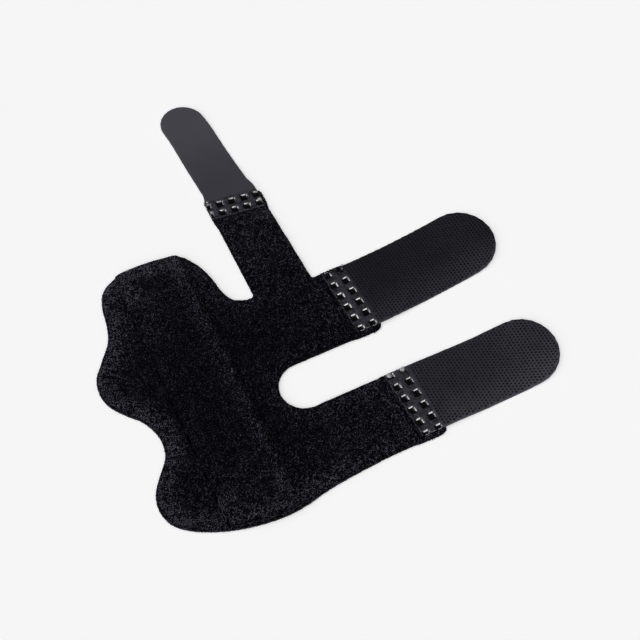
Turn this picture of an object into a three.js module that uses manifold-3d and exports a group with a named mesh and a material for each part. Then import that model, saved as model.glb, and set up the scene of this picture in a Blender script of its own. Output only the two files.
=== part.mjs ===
// Finger splint, laid out flat: a soft loop-faced sheet with three strap arms, a raised pocket for
// the stay along the finger, and a hook tab welded onto the end of each arm. Millimetres, +Z up.
// The origin is on the underside of the sheet, below the middle of the pocket. +Y runs along the
// pocket towards the fingertip, and +X towards the two wide arms.

import * as THREE from "three";
import { mergeVertices } from "three/addons/utils/BufferGeometryUtils.js";
import Module from "manifold-3d";

const wasm = await Module();
wasm.setup();

// Sheet: foam faced with loop pile, cut out in one piece.
const SHEET_THICKNESS = 2.6;
const SHEET_EDGE_ROUND = 0.7;
const PALM_FLAP_REACH = 23.4; // from the pocket's seam to the crest of the palm flap
const HEEL_RISE = 4.7; // from the pocket's lower end up to the lower arm's edge
const HEEL_LENGTH = 52; // from the pocket's middle to where the heel runs out into the arm

// Arms: their widths, their lengths and the gaps between them.
const FINGER_ARM_OFFSET = 19.3; // from the pocket's seam to the arm's near edge
const FINGER_ARM_WIDTH = 22.9;
const FINGER_ARM_ROOT_FLARE = 1.6;
const FINGER_ARM_LENGTH = 47;
const NOTCH_FLOOR_RISE = 2;
const NOTCH_CORNER_ROUND = 1.3;
const UPPER_ARM_WIDTH = 32;
const UPPER_ARM_REACH = 58.7; // from the pocket's seam to the arm's end
const LOWER_ARM_WIDTH = 30.6;
const LOWER_ARM_REACH = 60.9;
const SLOT_WIDTH = 19;
const SLOT_ROOT_OFFSET = 11.2; // from the pocket's seam to the slot's round end
const ARM_CORNER_ROUND = 1.6;
const WIDE_ARM_LOW_CORNER_ROUND = 3.2;
const ARM_ROOT_ROUND = 1.1;
const WELD_FLARE = 0.5; // the arm's edges are squeezed out beside the weld

// Pocket: a strip sewn down along both its long edges, open at its lower end.
const POCKET_LENGTH = 121;
const POCKET_WIDTH = 27.4;
const POCKET_SEAM_INSET = 0.25;
const POCKET_END_SETBACK = 0.45;
const POCKET_EDGE_THICKNESS = 0.5;
const POCKET_SHOULDER_HEIGHT = 1.6;
const POCKET_SHOULDER_ROUND = 1.8;
const POCKET_CROWN = 0.45;
const POCKET_END_SLOPE = 5;
const POCKET_END_HEIGHT = 0.5; // share of the strip's height that is left at its closed end
const TUNNEL_WIDTH = 21;
const TUNNEL_HEIGHT = 0.6;
const TUNNEL_END_WALL = 7;

// Hook tabs, each with a straight root, a round tip and two rows of square weld marks.
const TAB_THICKNESS = 0.9;
const TAB_SIDE_SHIFT = 0.7;
const TAB_BEND_LENGTH = 6;
const TAB_DROP_LENGTH = 24;
const TAB_TIP_LIFT = 1.5;
const TAB_TIP_LIFT_LENGTH = 26;
const FINGER_TAB_WELD_WIDTH = 22.3;
const FINGER_TAB_WIDTH = 19.9;
const FINGER_TAB_TIP_WIDTH = 18.4;
const FINGER_TAB_LENGTH = 51.9;
const FINGER_TAB_TURN = 3.8;
const FINGER_TAB_TIP_LEAN = 1.2; // the round tip is cut a little to one side
const UPPER_TAB_WIDTH = 29.8;
const UPPER_TAB_LENGTH = 60;
const UPPER_TAB_TURN = 5.4;
const LOWER_TAB_WIDTH = 28.9;
const LOWER_TAB_LENGTH = 55.7;
const LOWER_TAB_TURN = 0.9;

// Welds: the arm's end is pressed thin, and the tab lies on it.
const LAND_THICKNESS = 1.1;
const LAND_CLEARANCE = 0.4;
const LAYER_GAP = 0.3;
const WELD_DOT = 3.15;
const WELD_DOT_DRAFT = 0.35;
const WELD_DOT_DEPTH = 0.55;
const WELD_ROOT_MARGIN = 1.8; // from the inner row of marks to the tab's root edge
const FINGER_WELD_TURN = -6.9;
const FINGER_WELD_MARGIN = 2.3; // from the arm's end to the outer row of marks
const FINGER_WELD_ROW_SPACING = 4.4;
const FINGER_WELD_PITCH = 5.17;
const FINGER_WELD_COUNT = 5;
const WIDE_WELD_TURN = 3;
const WIDE_WELD_MARGIN = 3.2;
const WIDE_WELD_ROW_SPACING = 5.35;
const WIDE_WELD_PITCH = 5.45;
const WIDE_WELD_COUNT = 6;

// Edges of the hand's part of the sheet. Each table holds shares of the named sizes.
// Notch and lobe beside the fingertip, upwards from the floor of the notch.
const LOBE_EDGE = [
  { across: 0.86, up: 0 },
  { across: 0.65, up: 0.05 },
  { across: 0.54, up: 0.13 },
  { across: 0.46, up: 0.27 },
  { across: 0.43, up: 0.41 },
  { across: 0.36, up: 0.58 },
  { across: 0.23, up: 0.75 },
  { across: 0.02, up: 0.91 },
];
// The pocket's fingertip end, from its far seam to its near one.
const FINGERTIP_END = [
  { across: 0.6, along: 0.973 },
  { across: -0.07, along: 0.987 },
  { across: -0.6, along: 0.992 },
  { across: -1, along: 0.976 },
];
// Palm flap with its two lobes, from the fingertip end down to the heel.
const PALM_EDGE = [
  { reach: 0.25, along: 0.918 },
  { reach: 0.38, along: 0.818 },
  { reach: 0.44, along: 0.669 },
  { reach: 0.534, along: 0.555 },
  { reach: 0.739, along: 0.45 },
  { reach: 0.957, along: 0.331 },
  { reach: 1, along: 0.231 },
  { reach: 0.94, along: 0.132 },
  { reach: 0.765, along: 0.033 },
  { reach: 0.543, along: -0.066 },
  { reach: 0.419, along: -0.198 },
  { reach: 0.453, along: -0.331 },
  { reach: 0.65, along: -0.43 },
  { reach: 0.829, along: -0.529 },
  { reach: 0.889, along: -0.636 },
  { reach: 0.8, along: -0.752 },
  { reach: 0.547, along: -0.843 },
  { reach: 0.111, along: -0.926 },
];
// Heel, from the pocket's lower end along to the lower arm.
const HEEL_EDGE = [
  { along: -0.11, rise: 0.32 },
  { along: 0.13, rise: 0 },
  { along: 0.31, rise: 0.17 },
  { along: 0.41, rise: 0.42 },
  { along: 0.56, rise: 0.66 },
  { along: 0.78, rise: 0.87 },
  { along: 1, rise: 1 },
];

const EDGE_STEP = 2.4;
const ARC_STEP = THREE.MathUtils.degToRad(15);

// Lines that the arms and the pocket share.
const seamX = POCKET_WIDTH / 2;
const endY = POCKET_LENGTH / 2;
const lowerArmEdgeY = HEEL_RISE - endY;
const slotLowY = lowerArmEdgeY + LOWER_ARM_WIDTH;
const slotHighY = slotLowY + SLOT_WIDTH;
const upperArmEdgeY = slotHighY + UPPER_ARM_WIDTH;
const notchFloorY = upperArmEdgeY + NOTCH_FLOOR_RISE;
const fingerArmNearX = seamX + FINGER_ARM_OFFSET;

// Each arm has its own frame at the middle of its end: u outwards and v to the left.
// Turns are counted anticlockwise from the arm's own direction.
const fingerArm = {
  end: new THREE.Vector2(fingerArmNearX + FINGER_ARM_WIDTH / 2, notchFloorY + FINGER_ARM_LENGTH),
  angle: Math.PI / 2,
  width: FINGER_ARM_WIDTH,
  lowCornerRound: ARM_CORNER_ROUND,
  weld: {
    turn: THREE.MathUtils.degToRad(FINGER_WELD_TURN),
    margin: FINGER_WELD_MARGIN,
    rowSpacing: FINGER_WELD_ROW_SPACING,
    pitch: FINGER_WELD_PITCH,
    count: FINGER_WELD_COUNT,
  },
  tab: {
    weldWidth: FINGER_TAB_WELD_WIDTH,
    width: FINGER_TAB_WIDTH,
    tipWidth: FINGER_TAB_TIP_WIDTH,
    length: FINGER_TAB_LENGTH,
    tipLean: FINGER_TAB_TIP_LEAN,
    turn: THREE.MathUtils.degToRad(FINGER_TAB_TURN),
  },
};
const wideWeld = {
  turn: THREE.MathUtils.degToRad(WIDE_WELD_TURN),
  margin: WIDE_WELD_MARGIN,
  rowSpacing: WIDE_WELD_ROW_SPACING,
  pitch: WIDE_WELD_PITCH,
  count: WIDE_WELD_COUNT,
};
const upperArm = {
  end: new THREE.Vector2(seamX + UPPER_ARM_REACH, (slotHighY + upperArmEdgeY) / 2),
  angle: 0,
  width: UPPER_ARM_WIDTH,
  lowCornerRound: WIDE_ARM_LOW_CORNER_ROUND,
  weld: wideWeld,
  tab: {
    weldWidth: UPPER_TAB_WIDTH,
    width: UPPER_TAB_WIDTH,
    tipWidth: UPPER_TAB_WIDTH,
    length: UPPER_TAB_LENGTH,
    tipLean: 0,
    turn: THREE.MathUtils.degToRad(UPPER_TAB_TURN),
  },
};
const lowerArm = {
  end: new THREE.Vector2(seamX + LOWER_ARM_REACH, (lowerArmEdgeY + slotLowY) / 2),
  angle: 0,
  width: LOWER_ARM_WIDTH,
  lowCornerRound: WIDE_ARM_LOW_CORNER_ROUND,
  weld: wideWeld,
  tab: {
    weldWidth: LOWER_TAB_WIDTH,
    width: LOWER_TAB_WIDTH,
    tipWidth: LOWER_TAB_WIDTH,
    length: LOWER_TAB_LENGTH,
    tipLean: 0,
    turn: THREE.MathUtils.degToRad(LOWER_TAB_TURN),
  },
};

function weldDepth(weld) {
  return weld.margin + weld.rowSpacing + WELD_ROOT_MARGIN;
}

function smooth(share) {
  return THREE.MathUtils.smoothstep(share, 0, 1);
}

function toSheet(arm, u, v) {
  return new THREE.Vector2(u, v).rotateAround(new THREE.Vector2(), arm.angle).add(arm.end);
}

// A polygon's corners, each { point, round }, with an arc in place of every corner that has a round.
function roundedPolygon(corners) {
  const points = [];
  corners.forEach(({ point, round }, i) => {
    if (!round) {
      points.push(point);
      return;
    }
    const before = corners.at(i - 1).point.clone().sub(point).normalize();
    const after = corners[(i + 1) % corners.length].point.clone().sub(point).normalize();
    const halfAngle = Math.acos(before.dot(after)) / 2;
    const centre = before.clone().add(after).normalize().multiplyScalar(round / Math.sin(halfAngle));
    const from = before.clone().multiplyScalar(round / Math.tan(halfAngle)).sub(centre);
    const sweep = Math.PI - 2 * halfAngle;
    const turn = Math.sign(after.cross(before));
    const steps = Math.max(2, Math.ceil(sweep / ARC_STEP));
    for (let step = 0; step <= steps; step += 1) {
      const spoke = from.clone().rotateAround(new THREE.Vector2(), (turn * sweep * step) / steps);
      points.push(spoke.add(centre).add(point));
    }
  });
  return points;
}

// The free edge of the hand's part, from the floor of the notch round to the lower arm.
function handEdge() {
  const lobeHeight = endY - notchFloorY;
  const knots = [
    ...LOBE_EDGE.map((k) => [seamX + k.across * FINGER_ARM_OFFSET, notchFloorY + k.up * lobeHeight]),
    ...FINGERTIP_END.map((k) => [k.across * seamX, k.along * endY]),
    ...PALM_EDGE.map((k) => [-seamX - k.reach * PALM_FLAP_REACH, k.along * endY]),
    ...HEEL_EDGE.map((k) => [k.along * HEEL_LENGTH, k.rise * HEEL_RISE - endY]),
  ];
  const curve = new THREE.CatmullRomCurve3(
    knots.map(([x, y]) => new THREE.Vector3(x, y, 0)),
    false,
    "centripetal",
  );
  const steps = Math.round(curve.getLength() / EDGE_STEP);
  return curve.getSpacedPoints(steps).map((p) => ({ point: new THREE.Vector2(p.x, p.y), round: 0 }));
}

// The three sides of an arm's end: its right edge outwards, its end, and its left edge back.
function armEdge(arm) {
  const edge = arm.width / 2;
  const flared = edge + WELD_FLARE;
  const lean = flared * Math.tan(arm.weld.turn);
  const depth = weldDepth(arm.weld);
  const side = (sign, round) => [
    { point: toSheet(arm, -1.4 * depth, sign * edge), round: 0 },
    { point: toSheet(arm, -depth, sign * flared), round: 0 },
    { point: toSheet(arm, -sign * lean, sign * flared), round },
  ];
  return [...side(-1, arm.lowCornerRound), ...side(1, ARM_CORNER_ROUND).reverse()];
}

function slotEdge() {
  const radius = SLOT_WIDTH / 2;
  const centre = new THREE.Vector2(seamX + SLOT_ROOT_OFFSET + radius, (slotLowY + slotHighY) / 2);
  const steps = Math.ceil(Math.PI / ARC_STEP);
  return Array.from({ length: steps + 1 }, (unused, step) => {
    const angle = -Math.PI / 2 - (Math.PI * step) / steps;
    const spoke = new THREE.Vector2(Math.cos(angle), Math.sin(angle)).multiplyScalar(radius);
    return { point: spoke.add(centre), round: 0 };
  });
}

const sheetOutline = roundedPolygon([
  ...handEdge(),
  ...armEdge(lowerArm),
  ...slotEdge(),
  ...armEdge(upperArm),
  {
    point: new THREE.Vector2(
      fingerArmNearX + FINGER_ARM_WIDTH + FINGER_ARM_ROOT_FLARE,
      upperArmEdgeY + NOTCH_FLOOR_RISE / 3,
    ),
    round: ARM_ROOT_ROUND,
  },
  ...armEdge(fingerArm),
  { point: new THREE.Vector2(fingerArmNearX, notchFloorY), round: NOTCH_CORNER_ROUND },
]);

// The sheet's lowest and highest edge at a place across the pocket.
function sheetEnds(x) {
  const crossings = [];
  sheetOutline.forEach((a, i) => {
    const b = sheetOutline[(i + 1) % sheetOutline.length];
    if (a.x < x !== b.x < x) {
      crossings.push(a.y + ((b.y - a.y) * (x - a.x)) / (b.x - a.x));
    }
  });
  return [Math.min(...crossings), Math.max(...crossings)];
}

function toSolid(geometry) {
  const bare = geometry.clone();
  bare.deleteAttribute("normal");
  bare.deleteAttribute("uv");
  const merged = mergeVertices(bare, 1e-4);
  const vertProperties = new Float32Array(merged.attributes.position.array);
  const triVerts = new Uint32Array(merged.index.array);
  return new wasm.Manifold(new wasm.Mesh({ numProp: 3, vertProperties, triVerts }));
}

function toGeometry(solid) {
  const { vertProperties, triVerts } = solid.getMesh();
  const geometry = new THREE.BufferGeometry();
  geometry.setAttribute("position", new THREE.BufferAttribute(vertProperties, 3));
  geometry.setIndex(new THREE.BufferAttribute(triVerts, 1));
  geometry.computeVertexNormals();
  return geometry;
}

// A closed body between two skins over one grid. Lanes run from left to right and rows ahead, and
// each skin gives the point at a lane and a row.
function layeredBody(lanes, rows, upperSkin, lowerSkin) {
  const positions = [];
  const index = [];
  for (const skin of [upperSkin, lowerSkin]) {
    for (let row = 0; row <= rows; row += 1) {
      for (let lane = 0; lane <= lanes; lane += 1) {
        positions.push(...skin(lane, row));
      }
    }
  }
  const skinSize = (lanes + 1) * (rows + 1);
  const top = (lane, row) => row * (lanes + 1) + lane;
  const base = (lane, row) => skinSize + top(lane, row);
  const quad = (a, b, c, d) => index.push(a, b, c, a, c, d);
  for (let row = 0; row < rows; row += 1) {
    for (let lane = 0; lane < lanes; lane += 1) {
      quad(top(lane, row), top(lane + 1, row), top(lane + 1, row + 1), top(lane, row + 1));
      quad(base(lane, row), base(lane, row + 1), base(lane + 1, row + 1), base(lane + 1, row));
    }
    quad(base(0, row + 1), base(0, row), top(0, row), top(0, row + 1));
    quad(base(lanes, row), base(lanes, row + 1), top(lanes, row + 1), top(lanes, row));
  }
  for (let lane = 0; lane < lanes; lane += 1) {
    quad(base(lane, 0), base(lane + 1, 0), top(lane + 1, 0), top(lane, 0));
    quad(top(lane, rows), top(lane + 1, rows), base(lane + 1, rows), base(lane, rows));
  }
  const geometry = new THREE.BufferGeometry();
  geometry.setAttribute("position", new THREE.Float32BufferAttribute(positions, 3));
  geometry.setIndex(index);
  geometry.computeVertexNormals();
  return geometry;
}

// The pressed end of an arm: what is cut away above it, in the arm's own frame.
function landCut(arm) {
  const depth = weldDepth(arm.weld) + LAND_CLEARANCE;
  const past = arm.width;
  const cut = new THREE.BoxGeometry(depth + past, 2 * arm.width, SHEET_THICKNESS);
  cut.translate((past - depth) / 2, 0, LAND_THICKNESS + SHEET_THICKNESS / 2);
  cut.rotateZ(arm.weld.turn + arm.angle);
  cut.translate(arm.end.x, arm.end.y, 0);
  return toSolid(cut);
}

function sheetGeometry() {
  const round = Math.min(SHEET_EDGE_ROUND, 0.45 * SHEET_THICKNESS);
  const slab = new THREE.ExtrudeGeometry(new THREE.Shape(sheetOutline), {
    depth: SHEET_THICKNESS - 2 * round,
    bevelThickness: round,
    bevelSize: round,
    bevelOffset: -round,
    bevelSegments: 2,
  });
  slab.translate(0, 0, round);
  const lands = [fingerArm, upperArm, lowerArm].map(landCut);
  return toGeometry(lands.reduce((solid, land) => solid.subtract(land), toSolid(slab)));
}

function pocketGeometry() {
  const half = seamX - POCKET_SEAM_INSET;
  const seatZ = SHEET_THICKNESS + LAYER_GAP;
  const shoulder = half - POCKET_SHOULDER_ROUND;
  const shoulderSteps = 4;
  const crownSteps = 12;
  const rows = 26;

  // One side of the strip's section: a rounded shoulder, and then the crown up to the middle.
  const section = [];
  for (let step = 0; step < shoulderSteps; step += 1) {
    const angle = ((Math.PI / 2) * step) / shoulderSteps;
    section.push({
      x: -shoulder - POCKET_SHOULDER_ROUND * Math.cos(angle),
      height: POCKET_EDGE_THICKNESS + (POCKET_SHOULDER_HEIGHT - POCKET_EDGE_THICKNESS) * Math.sin(angle),
    });
  }
  for (let step = 0; step <= crownSteps; step += 1) {
    const x = shoulder * ((2 * step) / crownSteps - 1);
    section.push({ x, height: POCKET_SHOULDER_HEIGHT + POCKET_CROWN * Math.cos((Math.PI / 2) * (x / shoulder)) });
  }
  for (const lane of section.slice(0, shoulderSteps).reverse()) {
    section.push({ x: -lane.x, height: lane.height });
  }

  const place = (lane, row) => {
    const { x, height } = section[lane];
    const [low, high] = sheetEnds(x);
    const share = 0.5 - 0.5 * Math.cos((Math.PI * row) / rows);
    const y = THREE.MathUtils.lerp(low + POCKET_END_SETBACK, high - POCKET_END_SETBACK, share);
    return { x, y, height, toClosedEnd: high - y };
  };
  const upperSkin = (lane, row) => {
    const { x, y, height, toClosedEnd } = place(lane, row);
    const slope = THREE.MathUtils.lerp(POCKET_END_HEIGHT, 1, smooth(toClosedEnd / POCKET_END_SLOPE));
    return [x, y, seatZ + height * slope];
  };
  const lowerSkin = (lane, row) => {
    const { x, y, toClosedEnd } = place(lane, row);
    const side = smooth((TUNNEL_WIDTH / 2 - Math.abs(x)) / POCKET_SHOULDER_ROUND);
    const end = smooth((toClosedEnd - TUNNEL_END_WALL) / TUNNEL_END_WALL);
    return [x, y, seatZ + TUNNEL_HEIGHT * side * end];
  };
  return layeredBody(section.length - 1, rows, upperSkin, lowerSkin);
}

// The tab's middle line in the arm's frame: straight over the weld, a short bend, then straight on.
function tabPoint(tab, u, v) {
  const turned = tab.turn * THREE.MathUtils.clamp(u / TAB_BEND_LENGTH, 0, 1);
  const bent = Math.min(Math.max(u, 0), TAB_BEND_LENGTH);
  const chord = turned === 0 ? bent : (bent * Math.sin(turned / 2)) / (turned / 2);
  const middle = new THREE.Vector2(Math.cos(turned / 2), Math.sin(turned / 2)).multiplyScalar(chord);
  const straight = u - bent;
  const ahead = new THREE.Vector2(Math.cos(turned), Math.sin(turned));
  middle.addScaledVector(ahead, straight);
  return middle.addScaledVector(new THREE.Vector2(-ahead.y, ahead.x), v);
}

function tabHalfWidth(tab, u) {
  const pastWeld = THREE.MathUtils.lerp(tab.weldWidth, tab.width, smooth(u / TAB_BEND_LENGTH));
  const towardsTip = THREE.MathUtils.clamp(u / tab.length, 0, 1) * (tab.tipWidth - tab.width);
  return (pastWeld + towardsTip) / 2;
}

// The tab's underside: level over the weld, down onto the table, and a little up again at the tip.
function tabHeight(tab, u) {
  const weldHeight = LAND_THICKNESS + LAYER_GAP;
  const drop = smooth(u / TAB_DROP_LENGTH);
  const lift = smooth((u - tab.length + TAB_TIP_LIFT_LENGTH) / TAB_TIP_LIFT_LENGTH);
  return weldHeight * (1 - drop) + TAB_TIP_LIFT * lift;
}

function tabGeometry(arm) {
  const { tab, weld } = arm;
  const lanes = 12;
  const rows = 24;
  const tipRound = tab.tipWidth / 2;
  const skin = (thickness) => (lane, row) => {
    const share = Math.sin(Math.PI * (0.5 - lane / lanes));
    const root = (-weldDepth(weld) - (share * tab.weldWidth * Math.sin(weld.turn)) / 2) / Math.cos(weld.turn);
    const tip = tab.length - tipRound * (1 - Math.sqrt(Math.max(0, 1 - share * share)));
    const u = THREE.MathUtils.lerp(root, tip, row / rows);
    const lean = tab.tipLean * smooth((u - tab.length + tab.tipWidth) / tab.tipWidth);
    const v = share * tabHalfWidth(tab, u) + lean;
    const { x, y } = tabPoint(tab, u, v);
    return [x, y + TAB_SIDE_SHIFT, tabHeight(tab, u + v * Math.tan(weld.turn)) + thickness];
  };
  const strip = toSolid(layeredBody(lanes, rows, skin(TAB_THICKNESS), skin(0)));

  // Square weld marks, pressed into the top of the tab in two rows.
  const topZ = LAND_THICKNESS + LAYER_GAP + TAB_THICKNESS;
  const cornerReach = WELD_DOT / Math.SQRT2;
  const overcut = WELD_DOT_DEPTH;
  const marks = [];
  for (const row of [0, 1]) {
    for (let i = 0; i < weld.count; i += 1) {
      const mark = new THREE.CylinderGeometry(
        cornerReach + WELD_DOT_DRAFT,
        cornerReach - WELD_DOT_DRAFT,
        WELD_DOT_DEPTH + overcut,
        4,
      );
      mark.rotateY(Math.PI / 4);
      mark.rotateX(Math.PI / 2);
      mark.translate(
        -weld.margin - row * weld.rowSpacing,
        (i - (weld.count - 1) / 2) * weld.pitch,
        topZ + (overcut - WELD_DOT_DEPTH) / 2,
      );
      mark.rotateZ(weld.turn);
      mark.translate(0, TAB_SIDE_SHIFT, 0);
      marks.push(toSolid(mark));
    }
  }
  return toGeometry(marks.reduce((solid, mark) => solid.subtract(mark), strip));
}

const pileBlack = new THREE.MeshStandardMaterial({ color: 0x141417, roughness: 0.95, metalness: 0 });
const hookGrey = new THREE.MeshStandardMaterial({ color: 0x2e2e33, roughness: 0.6, metalness: 0 });
const smoothHookGrey = new THREE.MeshStandardMaterial({ color: 0x424247, roughness: 0.5, metalness: 0 });

const splint = new THREE.Group();

const sheet = new THREE.Mesh(sheetGeometry(), pileBlack);
sheet.name = "wrap_sheet";
splint.add(sheet);

const pocket = new THREE.Mesh(pocketGeometry(), pileBlack);
pocket.name = "stay_pocket";
splint.add(pocket);

for (const [name, arm, material] of [
  ["finger_hook_tab", fingerArm, smoothHookGrey],
  ["upper_hook_tab", upperArm, hookGrey],
  ["lower_hook_tab", lowerArm, hookGrey],
]) {
  const tab = new THREE.Mesh(tabGeometry(arm), material);
  tab.name = name;
  tab.position.set(arm.end.x, arm.end.y, 0);
  tab.rotation.z = arm.angle;
  splint.add(tab);
}

export default splint;
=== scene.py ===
import math

import bmesh
import bpy
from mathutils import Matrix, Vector, noise
from mathutils.bvhtree import BVHTree


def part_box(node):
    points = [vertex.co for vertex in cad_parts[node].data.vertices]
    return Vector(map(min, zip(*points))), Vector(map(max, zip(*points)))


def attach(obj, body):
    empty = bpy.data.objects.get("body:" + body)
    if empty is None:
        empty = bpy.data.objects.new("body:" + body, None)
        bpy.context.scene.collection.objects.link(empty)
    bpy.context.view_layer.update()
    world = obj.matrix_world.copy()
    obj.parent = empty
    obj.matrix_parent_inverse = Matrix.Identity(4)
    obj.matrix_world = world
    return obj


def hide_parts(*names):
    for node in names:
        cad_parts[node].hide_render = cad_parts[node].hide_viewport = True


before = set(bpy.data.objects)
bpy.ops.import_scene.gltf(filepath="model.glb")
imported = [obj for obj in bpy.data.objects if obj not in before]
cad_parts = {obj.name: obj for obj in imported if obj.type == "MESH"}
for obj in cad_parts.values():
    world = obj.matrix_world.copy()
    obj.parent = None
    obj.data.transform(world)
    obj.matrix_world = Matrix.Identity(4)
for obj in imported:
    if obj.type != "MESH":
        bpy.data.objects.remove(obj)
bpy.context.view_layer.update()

# The table and the light. The splint lies on a plain pale light table under one wide soft light.
# Two narrow lights, one in front and one behind on the left, only draw highlights on what is
# glossy.
LOOK_AT = Vector((0.05231, 0.00781, 0))
CAMERA_AZIMUTH = math.radians(-25.6)
CAMERA_ELEVATION = math.radians(61)
CAMERA_DISTANCE = 0.52
CAMERA_LENS = 75
CAMERA_FILM = 36
CAMERA_NEAREST = 0.01
TABLE_SIZE = 6
TABLE_COLOUR = (0.8, 0.8, 0.8, 1)
TABLE_GLOW = 0.49
ROOM_GREY = 0.04
LAMPS = {
    "wide_light": {"azimuth": -70, "elevation": 60, "width": 80,
                   "strength": 1.8, "on_cloth": True},
    "front_strip": {"azimuth": 12, "elevation": 38, "width": 24,
                    "strength": 2.4, "on_cloth": False},
    "back_strip": {"azimuth": 240, "elevation": 26, "width": 24,
                   "strength": 1.5, "on_cloth": False},
}


def towards(azimuth, elevation):
    """The direction from the table at an azimuth, counted from -Y, and an elevation."""
    level = math.cos(elevation)
    return Vector((math.sin(azimuth) * level, -math.cos(azimuth) * level, math.sin(elevation)))


def place_looking(piece, where, at):
    """Sets up the camera or a lamp at a place, turned towards another."""
    piece.location = where
    piece.rotation_euler = (at - where).to_track_quat("-Z", "Y").to_euler()
    bpy.context.scene.collection.objects.link(piece)


camera_data = bpy.data.cameras.new("camera")
camera_data.lens = CAMERA_LENS
camera_data.sensor_width = CAMERA_FILM
camera_data.clip_start = CAMERA_NEAREST
camera = bpy.data.objects.new("camera", camera_data)
camera_at = LOOK_AT + CAMERA_DISTANCE * towards(CAMERA_AZIMUTH, CAMERA_ELEVATION)
place_looking(camera, camera_at, LOOK_AT)
bpy.context.scene.camera = camera

for lamp_name, lamp in LAMPS.items():
    light = bpy.data.lights.new(lamp_name, "SUN")
    light.energy = lamp["strength"]
    light.angle = math.radians(lamp["width"])
    from_where = towards(math.radians(lamp["azimuth"]), math.radians(lamp["elevation"]))
    lit_from = bpy.data.objects.new(lamp_name, light)
    place_looking(lit_from, LOOK_AT + from_where, LOOK_AT)
    lit_from.visible_diffuse = lamp["on_cloth"]

room = bpy.data.worlds.new("room")
room.use_nodes = True
room_colour = room.node_tree.nodes["Background"].inputs["Color"]
room_colour.default_value = (ROOM_GREY, ROOM_GREY, ROOM_GREY, 1)
bpy.context.scene.world = room
bpy.context.scene.view_settings.view_transform = "Standard"

table_mesh = bpy.data.meshes.new("table")
half_table = TABLE_SIZE / 2
table_corners = [(-half_table, -half_table, 0), (half_table, -half_table, 0),
                 (half_table, half_table, 0), (-half_table, half_table, 0)]
table_mesh.from_pydata(table_corners, [], [(0, 1, 2, 3)])
table = bpy.data.objects.new("table", table_mesh)
bpy.context.scene.collection.objects.link(table)
table_finish = bpy.data.materials.new("pale table")
table_finish.use_nodes = True
table_shader = table_finish.node_tree.nodes["Principled BSDF"]
table_shader.inputs["Base Color"].default_value = TABLE_COLOUR
table_shader.inputs["Roughness"].default_value = 1
table_shader.inputs["Specular IOR Level"].default_value = 0
table_shader.inputs["Emission Color"].default_value = (1, 1, 1, 1)
table_shader.inputs["Emission Strength"].default_value = TABLE_GLOW
table_mesh.materials.append(table_finish)

# The sheet is one die-cut piece of foam, faced with black loop pile and cut through at its edge.
# Its solid is remeshed fine, rolls off a little towards the cut edge and is uneven, as soft foam
# is. It leaves room for the pile on top; the ends of its three arms are pressed thin for the welds.
SHEET_CELL = 0.0005
SHEET_FACES_KEPT = 0.5
SHEET_SMOOTHING = 3
SHEET_SEED = 1
NEARLY_NOTHING = 1e-6
ROUNDING = 0.5
WALL_NORMAL_Z = 0.5
NOISE_MIDDLE = 0.5
PILE_ROOM = 0.00035
EDGE_ROLL = 0.0007
EDGE_ROLL_WIDTH = 0.004
FOAM_UNEVENNESS = 0.0002
FOAM_UNEVENNESS_SIZE = 0.007
FOAM_UNEVENNESS_DETAIL = 3
FOAM_GRAIN_FINENESS = 1400
FOAM_GRAIN_DETAIL = 4
FOAM_GRAIN_STRENGTH = 0.5
FOAM_GRAIN_DEPTH = 0.0003
LAND_HEIGHT = 0.0018
FOAM_BLACK = (0.0008, 0.0007, 0.0022, 1)
FOAM_CUT_EDGE = (0.012, 0.0115, 0.0135, 1)
CUT_EDGE_NORMAL_Z = 0.4


class Socket:
    """A node's output that adds and multiplies like a number, by adding Math nodes to its tree."""

    def __init__(self, tree, output):
        self.tree = tree
        self.output = output

    def math(self, operation, *values):
        numbered = dict(enumerate(values))
        return self.tree.node("ShaderNodeMath", {"operation": operation}, numbered)[0]

    def __add__(self, other):
        return self.math("ADD", self, other)

    def __sub__(self, other):
        return self.math("SUBTRACT", self, other)

    def __rsub__(self, other):
        return self.math("SUBTRACT", other, self)

    def __mul__(self, other):
        return self.math("MULTIPLY", self, other)

    def __truediv__(self, other):
        return self.math("DIVIDE", self, other)

    def __rtruediv__(self, other):
        return self.math("DIVIDE", other, self)

    def __abs__(self):
        return self.math("ABSOLUTE", self)

    def __gt__(self, other):
        return self.math("GREATER_THAN", self, other)

    def __lt__(self, other):
        return self.math("LESS_THAN", self, other)

    __radd__ = __add__
    __rmul__ = __mul__


class Tree:
    """A node tree, of a material or of Geometry Nodes, that is written as calls of one method."""

    def __init__(self, node_tree):
        self.node_tree = node_tree

    def node(self, kind, settings=None, sockets=None):
        made = self.node_tree.nodes.new(kind)
        for name, value in (settings or {}).items():
            setattr(made, name, value)
        for key, value in (sockets or {}).items():
            into = made.inputs[key] if isinstance(key, int) else self.shown(made.inputs, key)
            if isinstance(value, Socket):
                self.node_tree.links.new(value.output, into)
            else:
                into.default_value = value
        return Outputs(self, made.outputs)

    @staticmethod
    def shown(sockets, name):
        return next(socket for socket in sockets if socket.name == name and socket.enabled)

    def into(self, node_name, socket_name, value):
        socket = self.node_tree.nodes[node_name].inputs[socket_name]
        self.node_tree.links.new(value.output, socket)


class Outputs:
    """A node's outputs, found by the name that the node shows or by their number."""

    def __init__(self, tree, sockets):
        self.tree = tree
        self.sockets = sockets

    def __getitem__(self, key):
        found = self.sockets[key] if isinstance(key, int) else Tree.shown(self.sockets, key)
        return Socket(self.tree, found)


def finish(name, **shader_values):
    """A new material and its tree, with the shader's own even values set on its sockets."""
    material = bpy.data.materials.new(name)
    material.use_nodes = True
    shader = material.node_tree.nodes["Principled BSDF"]
    for socket_name, value in shader_values.items():
        shader.inputs[socket_name.replace("_", " ")].default_value = value
    return material, Tree(material.node_tree)


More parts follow.
